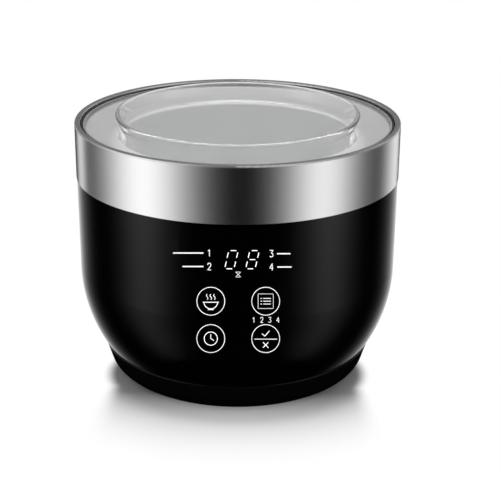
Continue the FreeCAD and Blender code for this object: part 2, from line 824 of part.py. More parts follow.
def make_power_parts():
    right = d.power_board_width / 2 - d.part_margin
    front = d.power_board_shift - d.power_board_length / 2 + d.part_margin
    transformer_x = d.transformer_width / 2 - right
    relay_y = front + d.connector_length + d.relay_length / 2
    can_y = d.power_board_shift - d.capacitor_radius - d.part_margin
    buzzer_y = d.power_board_shift + d.buzzer_radius
    transformer = (d.transformer_width, d.transformer_length, d.transformer_height)
    terminal = (d.terminal_width, d.terminal_length, d.terminal_height)
    connector = (d.connector_width, d.connector_length, d.connector_height)
    board_block("transformer", *transformer, transformer_x, TRANSFORMER_Y)
    board_block("relay", d.relay_width, d.relay_length, d.relay_height, d.relay_width / 2, relay_y)
    board_block("terminal_block", *terminal, TERMINAL_X, TERMINAL_Y)
    board_block("display_connector", *connector, CONNECTOR_X, CONNECTOR_Y)
    board_can("capacitor", d.capacitor_radius, d.capacitor_height, right - d.capacitor_radius, can_y)
    board_can("buzzer", d.buzzer_radius, d.buzzer_height, right - d.buzzer_radius, buzzer_y)


# Power inlet


def inlet_pin_places():
    for side in (-1, 1):
        yield side, d.pin_pitch / 2 * side


def make_power_inlet():
    case = block("inlet_case", d.inlet_width, d.inlet_length, d.inlet_height, as_size(0),
                 (INLET_FACE + INLET_BACK) / 2, INLET_Z - d.inlet_height / 2)
    depth = d.inlet_mouth_depth
    bottom = INLET_FACE - depth
    mouths = [cylinder(f"inlet_mouth_{side}", d.inlet_mouth_radius, depth, x, bottom, INLET_Z, ALONG_Y)
              for side, x in inlet_pin_places()]
    mouths.append(block("inlet_mouth_middle", d.pin_pitch, depth, d.inlet_mouth_radius * 2, as_size(0),
                        INLET_FACE - depth / 2, INLET_Z - d.inlet_mouth_radius))
    keep(cut("inlet", case, mouths), "power_inlet")
    pins = [cylinder(f"inlet_pin_{side}", d.pin_radius, d.pin_length, x, bottom, INLET_Z, ALONG_Y)
            for side, x in inlet_pin_places()]
    keep(group("inlet_pin_pair", pins), "inlet_pins")


# Insulated leads inside the shell


def lead_solid(points, radius):
    """A round lead along straight runs joined by tangent arcs."""
    share = 0.45
    edges = []
    start = points[0]
    for before, corner, after in zip(points, points[1:], points[2:]):
        back = before - corner
        ahead = after - corner
        reach = share * min(back.Length, ahead.Length)
        entry = corner + back.normalize() * reach
        leave = corner + ahead.normalize() * reach
        turn = (back.getAngle(ahead)) / 2
        middle = back + ahead
        depth = reach / math.cos(turn) - reach * math.tan(turn)
        edges.append(Part.LineSegment(start, entry).toShape())
        edges.append(Part.Arc(entry, corner + middle.normalize() * depth, leave).toShape())
        start = leave
    edges.append(Part.LineSegment(start, points[-1]).toShape())
    profile = Part.Wire(Part.Circle(points[0], points[1] - points[0], radius).toShape())
    return Part.Wire(edges).makePipeShell([profile], True, False)


def make_leads(name, radius, routes):
    """A set of leads, each through its own points."""
    made = doc.addObject("Part::Feature", name)
    solids = [lead_solid([Vector(*point) for point in route], radius.value) for route in routes]
    made.Shape = solids[0] if len(solids) == 1 else Part.makeCompound(solids)
    made.Placement = Placement()
    return keep(made, name)


def heater_end(angle):
    """The last points of a lead that comes up outside the well to the lower edge of the heater."""
    run = d.lead_run.value
    edge = (WELL_OUTSIDE + d.heater_gap + d.heater_wall / 2).value
    outer = edge + d.lead_swing.value
    top = (WELL_FLOOR_Z + d.heater_lift).value
    places = [(outer, top - run * 1.7), (outer, top - run), (edge, top - run * 0.6), (edge, top)]
    turn = math.radians(angle)
    return [(r * math.cos(turn), r * math.sin(turn), z) for r, z in places]


def make_all_leads():
    run = d.lead_run.value
    terminal_x = TERMINAL_X.value
    terminal_y = TERMINAL_Y.value
    terminal_z = (POWER_TOP_Z + d.terminal_height).value
    step = d.terminal_width.value / 5
    entries = [terminal_x + step * (number - 1.5) for number in range(4)]
    inlet_y = INLET_BACK.value
    inlet_z = INLET_Z.value
    mains = []
    for (_, x), entry in zip(inlet_pin_places(), entries):
        mains.append([
            (x.value, inlet_y, inlet_z),
            (x.value, inlet_y - run, inlet_z),
            (entry, terminal_y, inlet_z),
            (entry, terminal_y, terminal_z),
        ])
    make_leads("mains_leads", d.lead_radius, mains)
    fuse_x = d.fuse_length.value / 2
    fuse_y = -d.probe_offset.value
    fuse_z = (WELL_UNDERSIDE_Z - d.heater_gap - d.fuse_radius).value
    live, neutral = [(entry, terminal_y, terminal_z) for entry in entries[2:]]
    make_leads("heater_leads", d.lead_radius, [
        [live, (live[0], terminal_y, terminal_z + run), *heater_end(HEATER_LEAD_ANGLE)],
        [
            neutral,
            (neutral[0], terminal_y, terminal_z + run),
            (neutral[0], fuse_y, fuse_z),
            (fuse_x, fuse_y, fuse_z),
        ],
        [(-fuse_x, fuse_y, fuse_z), (-fuse_x - run, fuse_y, fuse_z), *heater_end(FUSE_LEAD_ANGLE)],
    ])
    sensor_x = -d.sensor_length.value / 2
    sensor_z = (WELL_UNDERSIDE_Z - d.heater_gap - d.sensor_radius).value
    sensor = []
    for side in (-1, 1):
        y = d.probe_offset.value + side * d.lead_radius.value * 1.4
        x = sensor_x - run + side * d.lead_radius.value * 2
        sensor.append([
            (sensor_x, y, sensor_z),
            (x, y, sensor_z),
            (x, BEHIND_TRANSFORMER.value, sensor_z - run),
            (x, BEHIND_TRANSFORMER.value, POWER_TOP_Z.value),
        ])
    make_leads("sensor_leads", d.lead_radius, sensor)
    plug_x = CONNECTOR_X.value
    plug_y = CONNECTOR_Y.value
    plug_z = (POWER_TOP_Z + d.connector_height).value
    board_y = BOARD_BACK.value
    cable_z = (BOARD_BOTTOM_Z + d.board_hole_inset).value
    make_leads("display_cable", d.cable_radius, [[
        (plug_x, board_y, cable_z),
        (plug_x, board_y + run, cable_z),
        (plug_x, plug_y - run, plug_z + run),
        (plug_x, plug_y, plug_z + run),
        (plug_x, plug_y, plug_z),
    ]])


make_glass_bowl()
make_heating_well()
make_heater_band()
make_probe("temperature_sensor", "sensor_clip", d.sensor_radius, d.sensor_length, d.probe_offset)
make_probe("thermal_fuse", "fuse_clip", d.fuse_radius, d.fuse_length, -d.probe_offset)
make_outer_shell()
make_steel_band()
make_rim_ring()
make_rim_gasket()
make_base_cover()
make_feet()
make_base_screws()
make_control_board()
make_display()
make_touch_pads()
make_power_board()
make_power_parts()
make_power_inlet()
make_all_leads()

doc.recompute()
for thing in doc.Objects:
    if {"Invalid", "Error"} & set(thing.State):
        raise RuntimeError(f"{thing.Name} failed: {thing.State}")
os.makedirs("parts", exist_ok=True)
for thing in subparts:
    shape = thing.Shape
    if shape.isNull() or not shape.isValid() or not shape.Solids:
        raise RuntimeError(f"{thing.Label} has no valid solid")
    shape.exportStep(f"parts/{thing.Label}.step")
    print(f"{thing.Label}: {len(shape.Solids)} solids, {shape.Volume / 1000:.2f} cm3")
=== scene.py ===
import json
import math
from collections import namedtuple

import bmesh
import bpy
from mathutils import Matrix, Vector


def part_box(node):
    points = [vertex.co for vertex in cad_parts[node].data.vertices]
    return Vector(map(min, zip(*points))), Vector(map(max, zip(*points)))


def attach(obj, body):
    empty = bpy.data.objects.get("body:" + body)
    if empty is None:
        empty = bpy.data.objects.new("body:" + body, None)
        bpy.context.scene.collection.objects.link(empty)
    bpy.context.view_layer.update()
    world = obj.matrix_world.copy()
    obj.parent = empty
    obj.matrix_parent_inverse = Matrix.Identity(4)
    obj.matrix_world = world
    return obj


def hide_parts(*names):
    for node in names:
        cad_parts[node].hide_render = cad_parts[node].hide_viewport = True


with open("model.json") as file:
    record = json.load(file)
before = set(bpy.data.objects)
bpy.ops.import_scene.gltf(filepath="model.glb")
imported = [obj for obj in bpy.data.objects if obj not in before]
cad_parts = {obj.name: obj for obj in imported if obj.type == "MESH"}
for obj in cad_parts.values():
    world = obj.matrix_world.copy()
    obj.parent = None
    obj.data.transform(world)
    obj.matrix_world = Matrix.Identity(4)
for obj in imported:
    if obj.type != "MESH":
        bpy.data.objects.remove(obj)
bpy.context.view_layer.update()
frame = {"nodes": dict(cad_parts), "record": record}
nodes = frame["nodes"]

MM = 0.001

# Camera: on the -Y side, a little to the right of the object's axis
FRAME_PIXELS = 500
SENSOR = 36.0
FOCAL_PIXELS = 1306.5
CAMERA_DISTANCE = 0.8
CAMERA_ELEVATION = math.radians(21.05)
CAMERA_ROLL = math.radians(0.4)
CAMERA_CLIP = 0.05
AIM = Vector((7.7, 0, 71.35)) * MM


def make_camera():
    data = bpy.data.cameras.new("camera")
    data.sensor_width = SENSOR
    data.lens = FOCAL_PIXELS * SENSOR / FRAME_PIXELS
    data.clip_start = CAMERA_CLIP
    camera = bpy.data.objects.new("camera", data)
    back = Vector((0, -math.cos(CAMERA_ELEVATION), math.sin(CAMERA_ELEVATION)))
    camera.location = AIM + back * CAMERA_DISTANCE
    tilt = Matrix.Rotation(math.pi / 2 - CAMERA_ELEVATION, 3, "X")
    camera.rotation_euler = (tilt @ Matrix.Rotation(CAMERA_ROLL, 3, "Z")).to_euler()
    bpy.context.collection.objects.link(camera)
    bpy.context.scene.camera = camera
    bpy.context.view_layer.update()
    return camera


camera = make_camera()


# Shader helpers

# Most of a noise lies between these two values
NOISE_LOW, NOISE_HIGH = 0.3, 0.7

# Sockets of a mix node, by what it mixes: factor, first, second and result
MIX_SOCKETS = {"RGBA": (0, 6, 7, 2), "FLOAT": (0, 2, 3, 0)}


class Graph:
    """A node tree with short ways to add nodes and join them."""

    def __init__(self, name, tree=None):
        if tree is None:
            self.material = bpy.data.materials.new(name)
            self.material.use_nodes = True
            tree = self.material.node_tree
        self.tree = tree
        self.shader = tree.nodes.get("Principled BSDF")
        self.output = tree.nodes.get("Material Output") or tree.nodes.get("World Output")

    def put(self, node, socket, value):
        target = node.inputs[socket]
        if isinstance(value, bpy.types.NodeSocket):
            self.tree.links.new(value, target)
        else:
            target.default_value = value

    def add(self, kind, inputs=None, **settings):
        node = self.tree.nodes.new(kind)
        for name, value in settings.items():
            setattr(node, name, value)
        for socket, value in (inputs or {}).items():
            self.put(node, socket, value)
        return node

    def math(self, operation, first, second=0.0, clamp=False):
        made = self.add("ShaderNodeMath", {0: first, 1: second}, operation=operation, use_clamp=clamp)
        return made.outputs[0]

    def times(self, first, second):
        return self.math("MULTIPLY", first, second)

    def total(self, first, *others):
        for value in others:
            first = self.math("ADD", first, value)
        return first

    def without(self, value):
        """What is left of 1 when value is taken away."""
        return self.math("SUBTRACT", 1.0, value)

    def place(self):
        """The point in the object's own frame, in metres."""
        return self.add("ShaderNodeTexCoord").outputs["Object"]

    def axes(self):
        """The point's x, y and z."""
        return self.add("ShaderNodeSeparateXYZ", {0: self.place()}).outputs

    def noise(self, scale, detail=3.0, vector=None, roughness=0.5):
        inputs = {"Scale": scale, "Detail": detail, "Roughness": roughness}
        inputs["Vector"] = vector or self.place()
        return self.add("ShaderNodeTexNoise", inputs).outputs["Fac"]

    def span(self, value, low, high, start=0.0, end=1.0):
        """Maps value from start..end to low..high, without overshoot."""
        inputs = {"Value": value, "From Min": start, "From Max": end, "To Min": low, "To Max": high}
        return self.add("ShaderNodeMapRange", inputs).outputs[0]

    def vary(self, noise, low=0.0, high=1.0):
        """Maps the usual reach of a noise to low..high."""
        return self.span(noise, low, high, NOISE_LOW, NOISE_HIGH)

    def smooth(self, value, start, end):
        """Rises from 0 to 1 between start and end, easing in and out."""
        inputs = {"Value": value, "From Min": start, "From Max": end}
        return self.add("ShaderNodeMapRange", inputs, interpolation_type="SMOOTHSTEP").outputs[0]

    def mix(self, kind, factor, first, second):
        made = self.add("ShaderNodeMix", data_type=kind)
        *sockets, result = MIX_SOCKETS[kind]
        for socket, value in zip(sockets, (factor, first, second)):
            self.put(made, socket, value)
        return made.outputs[result]

    def blend(self, factor, first, second):
        """Mixes two colours."""
        return self.mix("RGBA", factor, first, second)

    def between(self, factor, first, second):
        """Mixes two numbers."""
        return self.mix("FLOAT", factor, first, second)

    def bump(self, height, strength, distance):
        made = self.add("ShaderNodeBump", {"Height": height, "Strength": strength, "Distance": distance})
        return made.outputs[0]

    def glow(self, strength):
        return self.add("ShaderNodeEmission", {"Color": WHITE, "Strength": strength}).outputs[0]

    def clear(self, colour):
        return self.add("ShaderNodeBsdfTransparent", {"Color": colour}).outputs[0]

    def choose(self, factor, first, second):
        """Mixes two shaders."""
        return self.add("ShaderNodeMixShader", {0: factor, 1: first, 2: second}).outputs[0]

    def show(self, surface):
        self.put(self.output, "Surface", surface)

    def set(self, **sockets):
        for socket, value in sockets.items():
            self.put(self.shader, socket.replace("_", " "), value)
        return self.material


def rgb(*values):
    return (*values, 1.0)


def grey(level, cool=0.0):
    """A neutral colour, with a trace more blue where it is cool."""
    return rgb(level, level, level + cool)


def toned(colour, gain, lift=0.0):
    """A paler or darker form of a colour."""
    return rgb(*(min(1.0, channel * gain + lift) for channel in colour))


def around_axis(graph, turns, lengthwise):
    """Coordinates that run round the upright axis and along it, for brushing."""
    x, y, z = graph.axes()
    angle = graph.math("ARCTAN2", y, x)
    vector = graph.add("ShaderNodeCombineXYZ", {0: graph.times(angle, turns), 1: graph.times(z, lengthwise)})
    return vector.outputs[0]


WHITE = grey(1.0)


# Materials

STEEL = grey(0.6, 0.005)

# Dust shows where its noise passes these values
DUST_START, DUST_FULL = 0.62, 0.8
BLOOM_START, BLOOM_FULL = 0.35, 0.75

# The ledge along the top of the base, and the bright lower edge of the trim ring
BASE_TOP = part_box("outer_shell")[0].z
LEDGE_EDGE = 0.8 * MM
LEDGE_FADE = 0.4 * MM
RIM_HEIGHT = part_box("rim_ring")[1].z
RING_EDGE = 0.5 * MM
RING_FADE = 0.1 * MM

# Zones of the heating well: by radius, the mouth and the flange's edge, where painted shade lies along the
# seal, and by height, its deep part, where the painted pale inside tones down
WELL_MOUTH, FLANGE_START = 70.5 * MM, 71.2 * MM
SEAL_SHADE_START, SEAL_SHADE_FULL = 88.7 * MM, 89.7 * MM
WELL_DEEP, WELL_SHALLOW = 60.0 * MM, 72.0 * MM

# The lip of the glass, made less clear so it reads pale: a painted highlight along the rim
BOWL_LOW, BOWL_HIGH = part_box("glass_bowl")
LIP_FADE = 1.6 * MM
LIP_CLEARNESS = 0.72

# Copper lands of a circuit board, by distance from their centre
LAND_EDGE, LAND_FADE = 0.08, 0.12


def gloss_plastic(name, colour, roughness):
    """Moulded gloss plastic: faint orange peel, uneven polish and a trace of dust."""
    graph = Graph(name)
    polish = graph.noise(scale=38.0, detail=4.0)
    dust = graph.noise(scale=2600.0, detail=2.0)
    peel = graph.noise(scale=420.0, detail=2.0)
    specks = graph.span(dust, 0.0, 1.0, DUST_START, DUST_FULL)
    return graph.set(
        Base_Color=graph.blend(specks, rgb(*colour), toned(colour, gain=1.5, lift=0.0015)),
        Roughness=graph.vary(polish, roughness * 0.8, roughness * 1.25),
        Normal=graph.bump(peel, strength=0.05, distance=0.2 * MM),
    )


def base_plastic(name):
    """Black plastic that is dull on the wall of the base and polished along the ledge at its top."""
    graph = Graph(name)
    wide = graph.noise(scale=38.0, detail=4.0)
    height = graph.axes()[2]
    ledge = BASE_TOP - LEDGE_EDGE
    return graph.set(
        Base_Color=graph.blend(wide, grey(0.002, 0.0001), grey(0.003, 0.0001)),
        Specular_IOR_Level=graph.span(height, 0.0, 0.2, ledge, ledge + LEDGE_FADE),
        Roughness=graph.vary(wide, 0.12, 0.2),
    )


def grained_plastic(name, colour, roughness):
    """Spark-eroded moulded plastic with a fine grain."""
    graph = Graph(name)
    fine = graph.noise(scale=900.0)
    wide = graph.noise(scale=55.0)
    return graph.set(
        Base_Color=graph.blend(graph.vary(wide), rgb(*colour), toned(colour, gain=1.25, lift=0.003)),
        Roughness=graph.vary(fine, roughness * 0.85, roughness * 1.15),
        Normal=graph.bump(fine, strength=0.25, distance=0.12 * MM),
    )


def brushed_band(name):
    """Steel brushed round the band, so its sheen spreads upright."""
    graph = Graph(name)
    lines = graph.noise(scale=1.0, vector=around_axis(graph, turns=14.0, lengthwise=16000.0), roughness=0.6)
    broad = graph.noise(scale=1.0, detail=2.0, vector=around_axis(graph, turns=2.0, lengthwise=900.0))
    tangent = graph.add("ShaderNodeTangent", direction_type="RADIAL", axis="Z").outputs[0]
    return graph.set(
        Base_Color=graph.blend(graph.vary(lines), STEEL, grey(0.66)),
        Metallic=1.0,
        Roughness=graph.vary(broad, 0.23, 0.26),
        Anisotropic=1.0,
        Anisotropic_Rotation=0.25,
        Tangent=tangent,
        Normal=graph.bump(lines, strength=0.02, distance=0.03 * MM),
    )


def trim_ring(name):
    """Dark grey trim ring with a bright metal edge where it meets the band."""
    graph = Graph(name)
    fine = graph.noise(scale=1600.0)
    wide = graph.noise(scale=55.0)
    height = graph.axes()[2]
    edge = RIM_HEIGHT - RING_EDGE
    metal = graph.span(height, 1.0, 0.0, edge, edge + RING_FADE)
    dark = graph.blend(graph.vary(wide), grey(0.11, 0.002), grey(0.13, 0.002))
    return graph.set(
        Base_Color=graph.blend(metal, dark, STEEL),
        Metallic=metal,
        Roughness=graph.vary(fine, 0.32, 0.44),
        Normal=graph.bump(fine, strength=0.08, distance=0.12 * MM),
    )


def satin_metal(name, colour, roughness):
    """Blasted or plated metal with a soft, slightly uneven sheen."""
    graph = Graph(name)
    fine = graph.noise(scale=1500.0)
    wide = graph.noise(scale=45.0)
    return graph.set(
        Base_Color=graph.blend(graph.vary(wide), toned(colour, gain=0.9), rgb(*colour)),
        Metallic=1.0,
        Roughness=graph.vary(fine, roughness * 0.9, roughness * 1.1),
        Normal=graph.bump(fine, strength=0.05, distance=0.05 * MM),
    )


def well_metal(name):
    """Satin aluminium, painted paler inside the well to make up for its shade, and painted darker along the
    edge that meets the seal, where the groove is in shade.
    """
    graph = Graph(name)
    fine = graph.noise(scale=1500.0)
    wide = graph.vary(graph.noise(scale=45.0))
    x, y, z = graph.axes()
    flat = graph.add("ShaderNodeCombineXYZ", {0: x, 1: y}).outputs[0]
    radius = graph.add("ShaderNodeVectorMath", {0: flat}, operation="LENGTH").outputs["Value"]
    flange = graph.blend(wide, grey(0.46, 0.002), grey(0.49, 0.002))
    # Painted light: the inside of the well is painted far paler than the flange to make up for the shade in
    # it, and less pale low down, where the top lamp lights the floor.
    wall = graph.blend(wide, grey(0.94, 0.002), grey(0.96, 0.002))
    inside = graph.blend(graph.span(z, 1.0, 0.0, WELL_DEEP, WELL_SHALLOW), wall, grey(0.62, 0.002))
    outward = graph.span(radius, 0.0, 1.0, WELL_MOUTH, FLANGE_START)
    # Painted shade: a dark ring along the flange's edge that meets the seal, where the groove is in shade.
    edge = graph.span(radius, 0.0, 1.0, SEAL_SHADE_START, SEAL_SHADE_FULL)
    return graph.set(
        Base_Color=graph.blend(edge, graph.blend(outward, inside, flange), grey(0.3, 0.002)),
        Metallic=graph.span(outward, 0.1, 0.35),
        Roughness=graph.vary(fine, 0.36, 0.42),
        Normal=graph.bump(fine, strength=0.05, distance=0.05 * MM),
    )


def clear_glass(name):
    """Pressed glass with a trace of tint and a lip made less clear, a painted highlight along the rim; lamp
    light passes straight through it.
    """
    graph = Graph(name)
    height = graph.axes()[2]
    waves = graph.noise(scale=30.0, detail=1.0)
    tint = graph.blend(waves, rgb(0.988, 0.99, 0.99), rgb(0.994, 0.995, 0.995))
    graph.set(
        Base_Color=tint,
        Roughness=graph.span(waves, 0.0, 0.015),
        IOR=1.15,
        # Painted highlight: near the top the glass lets less light through, so its pale base colour shows as
        # a bright line along the lip.
        Transmission_Weight=graph.span(height, 1.0, LIP_CLEARNESS, BOWL_HIGH.z - LIP_FADE, BOWL_HIGH.z),
        Coat_Weight=0.55,
        Coat_Roughness=0.02,
        Normal=graph.bump(waves, strength=0.004, distance=1.0 * MM),
    )
    path = graph.add("ShaderNodeLightPath").outputs
    through = graph.math("MAXIMUM", path["Is Shadow Ray"], path["Is Diffuse Ray"])
    graph.show(graph.choose(through, graph.shader.outputs[0], graph.clear(tint)))
    return graph.material


def rubber(name, colour):
    """Matt rubber or silicone with a dusty bloom."""
    graph = Graph(name)
    bloom = graph.noise(scale=120.0, detail=4.0)
    fine = graph.noise(scale=1400.0, detail=2.0)
    dusty = graph.span(bloom, 0.0, 1.0, BLOOM_START, BLOOM_FULL)
    return graph.set(
        Base_Color=graph.blend(dusty, rgb(*colour), toned(colour, gain=1.4, lift=0.01)),
        Roughness=graph.vary(bloom, 0.6, 0.8),
        Normal=graph.bump(fine, strength=0.15, distance=0.1 * MM),
    )


def circuit_board(name):
    """Green solder mask with paler copper lands."""
    graph = Graph(name)
    lands = graph.add("ShaderNodeTexVoronoi", {"Vector": graph.place(), "Scale": 260.0}).outputs["Distance"]
    traces = graph.add("ShaderNodeTexBrick", {
        "Vector": graph.place(),
        "Scale": 90.0,
        "Mortar Size": 0.06,
        "Color1": rgb(0.01, 0.13, 0.045),
        "Color2": rgb(0.012, 0.16, 0.055),
        "Mortar": rgb(0.03, 0.26, 0.1),
    }).outputs["Color"]
    copper = graph.span(lands, 1.0, 0.0, LAND_EDGE, LAND_FADE)
    return graph.set(
        Base_Color=graph.blend(copper, traces, rgb(0.62, 0.55, 0.38)),
        Roughness=0.35,
        Normal=graph.bump(lands, strength=0.05, distance=0.1 * MM),
    )


def printed_ink(name, level, glow):
    """White panel print, which glows as painted light, and light that shows through the shell."""
    graph = Graph(name)
    grain = graph.noise(scale=3000.0, detail=2.0)
    shade = graph.blend(graph.vary(grain), grey(level * 0.92), grey(level))
    return graph.set(Base_Color=shade, Roughness=0.4, Emission_Color=shade, Emission_Strength=glow)


MATERIALS = {
    "shell_black": gloss_plastic("gloss_black", (0.0006, 0.0006, 0.0007), 0.1),
    "band_steel": brushed_band("brushed_steel"),
    "ring_grey": trim_ring("ring_grey"),
    "gasket_black": rubber("gasket_black", (0.012, 0.012, 0.012)),
    "well_metal": well_metal("well_metal"),
    "bowl_glass": clear_glass("clear_glass"),
    "base_black": base_plastic("base_black"),
    "foot_rubber": rubber("foot_rubber", (0.04, 0.04, 0.04)),
    "screw_steel": satin_metal("screw_steel", (0.58, 0.58, 0.57), 0.3),
    "heater_silicone": rubber("heater_silicone", (0.55, 0.12, 0.04)),
    "sensor_brass": satin_metal("sensor_brass", (0.72, 0.52, 0.24), 0.3),
    "clip_steel": satin_metal("clip_steel", (0.6, 0.6, 0.6), 0.3),
    "fuse_ceramic": grained_plastic("fuse_ceramic", (0.7, 0.68, 0.62), 0.6),
    "board_green": circuit_board("board_green"),
    "display_grey": grained_plastic("display_grey", (0.1, 0.1, 0.1), 0.5),
    "light_white": grained_plastic("light_white", (0.8, 0.8, 0.78), 0.5),
    "pad_foam": rubber("pad_foam", (0.06, 0.06, 0.065)),
    "core_yellow": grained_plastic("core_yellow", (0.75, 0.6, 0.1), 0.45),
    "relay_blue": gloss_plastic("relay_blue", (0.03, 0.1, 0.4), 0.25),
    "can_dark": gloss_plastic("can_dark", (0.03, 0.03, 0.06), 0.3),
    "terminal_green": grained_plastic("terminal_green", (0.03, 0.3, 0.1), 0.45),
    "buzzer_black": grained_plastic("buzzer_black", (0.02, 0.02, 0.02), 0.5),
    "plug_white": grained_plastic("plug_white", (0.8, 0.79, 0.74), 0.4),
    "inlet_black": grained_plastic("inlet_black", (0.012, 0.012, 0.012), 0.42),
    "pin_brass": satin_metal("pin_brass", (0.75, 0.68, 0.45), 0.22),
    "lead_black": rubber("lead_black", (0.03, 0.03, 0.03)),
    "lead_red": rubber("lead_red", (0.5, 0.03, 0.03)),
    "lead_white": rubber("lead_white", (0.75, 0.75, 0.72)),
    "cable_grey": rubber("cable_grey", (0.35, 0.35, 0.36)),
}
# The white print is given a painted glow, so it reads brighter than the lamps make it.
GLOWING_INK = printed_ink("panel_ink_painted_glow", level=0.88, glow=0.6)
LIGHT = printed_ink("panel_light", level=0.95, glow=0.85)

for entry in frame["record"]["subparts"]:
    for holder in nodes[entry["node"]].material_slots:
        holder.material = MATERIALS[entry["material_slot"]]


# Glass bowl, turned finely so that light bends smoothly through it

# Sizes in millimetres
BOWL_FOOT, BOWL_TOP = BOWL_LOW.z / MM, BOWL_HIGH.z / MM
BOWL_RIM, BOWL_FLARE, BOWL_TAPER = 72.4, 2.8, 3.4
BOWL_WALL, BOWL_FLOOR = 2.8, 3.4
BOWL_LIP, BOWL_LIP_ROUND, BOWL_CORNER = 7.0, 1.2, 12.0

# How finely arcs and turns are divided
ARC_LEAST_STEPS = 6
ARC_STEPS_PER_RADIAN = 12
TURN_STEPS = 256


def rounded(corners):
    """An outline through (radius, height, rounding) corners, with each rounding as an arc."""
    outline = []
    for index, (x, y, rounding) in enumerate(corners):
        here = Vector((x, y))
        if rounding == 0:
            outline.append(here)
            continue
        before = (Vector(corners[index - 1][:2]) - here).normalized()
        after = (Vector(corners[index + 1][:2]) - here).normalized()
        half = before.angle(after) / 2
        centre = here + (before + after).normalized() * rounding / math.sin(half)
        start = here + before * rounding / math.tan(half) - centre
        sweep = start.angle_signed(here + after * rounding / math.tan(half) - centre)
        steps = max(ARC_LEAST_STEPS, round(abs(sweep) * ARC_STEPS_PER_RADIAN))
        for step in range(steps + 1):
            turn = Matrix.Rotation(-sweep * step / steps, 2)
            outline.append(centre + turn @ start)
    return outline


def into_object(name, mesh):
    data = bpy.data.meshes.new(name)
    mesh.to_mesh(data)
    mesh.free()
    made = bpy.data.objects.new(name, data)
    bpy.context.collection.objects.link(made)
    return made


def turned(name, outline):
    """A closed solid of revolution about the upright axis, from an outline in millimetres."""
    mesh = bmesh.new()
    turns = [math.tau * step / TURN_STEPS for step in range(TURN_STEPS)]
    rows = []
    for radius, height in outline:
        if radius == 0:
            rows.append([mesh.verts.new((0, 0, height * MM))] * TURN_STEPS)
            continue
        points = [Vector((radius * math.cos(turn), radius * math.sin(turn), height)) for turn in turns]
        rows.append([mesh.verts.new(point * MM) for point in points])
    for lower, upper in zip(rows, rows[1:]):
        for step in range(TURN_STEPS):
            after = (step + 1) % TURN_STEPS
            corners = [lower[step], lower[after], upper[after], upper[step]]
            mesh.faces.new(list(dict.fromkeys(corners)))
    bmesh.ops.recalc_face_normals(mesh, faces=mesh.faces)
    for face in mesh.faces:
        face.smooth = True
    return into_object(name, mesh)


def make_bowl():
    wall = BOWL_RIM - BOWL_FLARE
    bottom = wall - BOWL_TAPER
    lip = BOWL_TOP - BOWL_LIP
    bowl = turned("bowl_glass_piece", rounded([
        (0, BOWL_FOOT, 0),
        (bottom, BOWL_FOOT, BOWL_CORNER),
        (wall, lip, BOWL_LIP),
        (BOWL_RIM, BOWL_TOP, BOWL_LIP_ROUND),
        (BOWL_RIM - BOWL_WALL, BOWL_TOP, BOWL_LIP_ROUND),
        (wall - BOWL_WALL, lip, BOWL_LIP),
        (bottom - BOWL_WALL, BOWL_FOOT + BOWL_FLOOR, BOWL_CORNER - BOWL_WALL),
        (0, BOWL_FOOT + BOWL_FLOOR, 0),
    ]))
    bowl.data.materials.append(MATERIALS["bowl_glass"])
    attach(bowl, "bowl")
    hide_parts("glass_bowl")


make_bowl()


# Panel marks, drawn in picture coordinates and laid on the shell along the line of sight

SHELL_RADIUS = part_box("outer_shell")[1].x
BAND_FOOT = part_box("steel_band")[0].z
SHELL_TAPER = 0.3 * MM
BELLY_HEIGHT = 66.1 * MM
BELLY_CURVE = 86.9 * MM
INK_LIFT = 0.05 * MM

# Halvings that find where a line of sight meets the shell, and how finely strokes are divided, in pixels
SIGHT_HALVINGS = 48
STROKE_STEP = 1.5
RING_STEPS = 72


def shell_radius(height):
    """Outside radius of the shell at a height: a slight taper above the belly and an arc below it."""
    if height >= BELLY_HEIGHT:
        return SHELL_RADIUS - SHELL_TAPER * (BAND_FOOT - height) / (BAND_FOOT - BELLY_HEIGHT)
    drop = BELLY_HEIGHT - height
    return SHELL_RADIUS - SHELL_TAPER - BELLY_CURVE + math.sqrt(BELLY_CURVE ** 2 - drop ** 2)


def on_shell(x, y):
    """Where the line of sight through picture point (x, y) meets the front of the shell."""
    eye = camera.location
    ray = Vector((x - FRAME_PIXELS / 2, FRAME_PIXELS / 2 - y, -FOCAL_PIXELS))
    ray = (camera.matrix_world.to_3x3() @ ray).normalized()
    near, far = CAMERA_DISTANCE - 2 * SHELL_RADIUS, CAMERA_DISTANCE
    for _ in range(SIGHT_HALVINGS):
        middle = (near + far) / 2
        point = eye + ray * middle
        if math.hypot(point.x, point.y) > shell_radius(point.z) + INK_LIFT:
            near = middle
        else:
            far = middle
    return eye + ray * near


def arc(centre, wide, high, start, end, steps):
    """Picture points on an ellipse, in degrees, 0 to the right and 90 up."""
    turns = [math.radians(start + (end - start) * step / steps) for step in range(steps + 1)]
    return [(centre[0] + wide * math.cos(turn), centre[1] - high * math.sin(turn)) for turn in turns]


